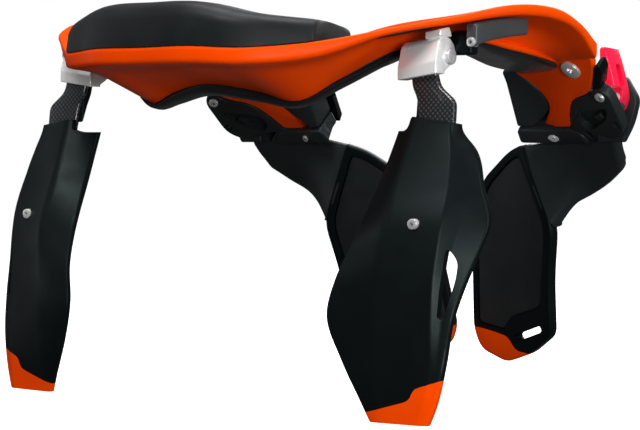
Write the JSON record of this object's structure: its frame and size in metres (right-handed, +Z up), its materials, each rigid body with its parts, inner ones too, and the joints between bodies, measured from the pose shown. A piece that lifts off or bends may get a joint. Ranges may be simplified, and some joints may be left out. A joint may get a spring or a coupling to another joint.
{
  "type": "motorcycle neck brace",
  "caption": "Rigid neck brace with a padded ring, hinged back wings, chest plates, and a front section that swings open on side latches.",
  "frame": {"origin": "centre of the footprint, on the surface the brace stands on", "axes": "+X to the wearer's right, +Y towards the chest, +Z up"},
  "size_m": [0.304, 0.316, 0.2002],
  "materials": {
    "orange": "semi-gloss moulded plastic",
    "black": "satin black moulded plastic",
    "foam": "smooth skinned foam",
    "steel": "zinc-plated steel",
    "alloy": "polished cast alloy",
    "red": "bright red moulded plastic",
    "carbon": "clear-coated carbon weave"
  },
  "bodies": {
    "rear": {"ring_shell": "orange", "ring_deck": "black", "rear_pad": "foam", "spine_pad": "foam", "shoulder_pad_right": "foam", "shoulder_pad_left": "foam", "side_plate_right": "orange", "side_plate_left": "orange", "side_screw_right": "steel", "side_screw_left": "steel", "side_core_right": "black", "side_core_left": "black", "wing_bracket_right": "black", "wing_bracket_left": "black", "hinge_bolt_right": "steel", "hinge_bolt_left": "steel", "bracket_screw_right": "steel", "bracket_screw_left": "steel"},
    "front": {"front_table": "black", "front_pad": "foam", "side_body_right": "black", "side_body_left": "black", "latch_frame_right": "black", "latch_frame_left": "black", "latch_pin_right": "steel", "latch_pin_left": "steel", "chest_arm_right": "black", "chest_arm_left": "black", "chest_plate_right": "black", "chest_plate_left": "black", "chest_lining_right": "foam", "chest_lining_left": "foam", "chest_tip_right": "orange", "chest_tip_left": "orange", "table_post_right": "black", "table_post_left": "black", "band_screw_right": "steel", "band_screw_left": "steel"},
    "right_wing": {"wing_shell_right": "black", "wing_tip_right": "orange", "wing_pad_upper_right": "foam", "wing_pad_middle_right": "foam", "wing_pad_lower_right": "foam", "wing_screw_right": "steel", "wing_strut_right": "carbon", "strut_rib_right": "black", "hinge_block_right": "alloy"},
    "left_wing": {"wing_shell_left": "black", "wing_tip_left": "orange", "wing_pad_upper_left": "foam", "wing_pad_middle_left": "foam", "wing_pad_lower_left": "foam", "wing_screw_left": "steel", "wing_strut_left": "carbon", "strut_rib_left": "black", "hinge_block_left": "alloy"},
    "right_lever": {"latch_lever_right": "red"},
    "left_lever": {"latch_lever_left": "red"}
  },
  "joints": [
    {"name": "front_opening", "type": "hinge", "parent": "rear", "child": "front", "pos_m": [-0.14, 0.06, 0.1575], "axis": [0, 0, 1], "range_deg": [0, 60]},
    {"name": "right_wing_fold", "type": "hinge", "parent": "rear", "child": "right_wing", "pos_m": [0.11, -0.0675, 0.1745], "axis": [1, 0, 0], "range_deg": [0, 35]},
    {"name": "left_wing_fold", "type": "hinge", "parent": "rear", "child": "left_wing", "pos_m": [-0.11, -0.0675, 0.1745], "axis": [1, 0, 0], "range_deg": [0, 35]},
    {"name": "right_latch", "type": "hinge", "parent": "front", "child": "right_lever", "pos_m": [0.132, 0.089, 0.1575], "axis": [0, 1, 0], "range_deg": [0, 60]},
    {"name": "left_latch", "type": "hinge", "parent": "front", "child": "left_lever", "pos_m": [-0.132, 0.089, 0.1575], "axis": [0, 1, 0], "range_deg": [-60, 0]}
  ]
}
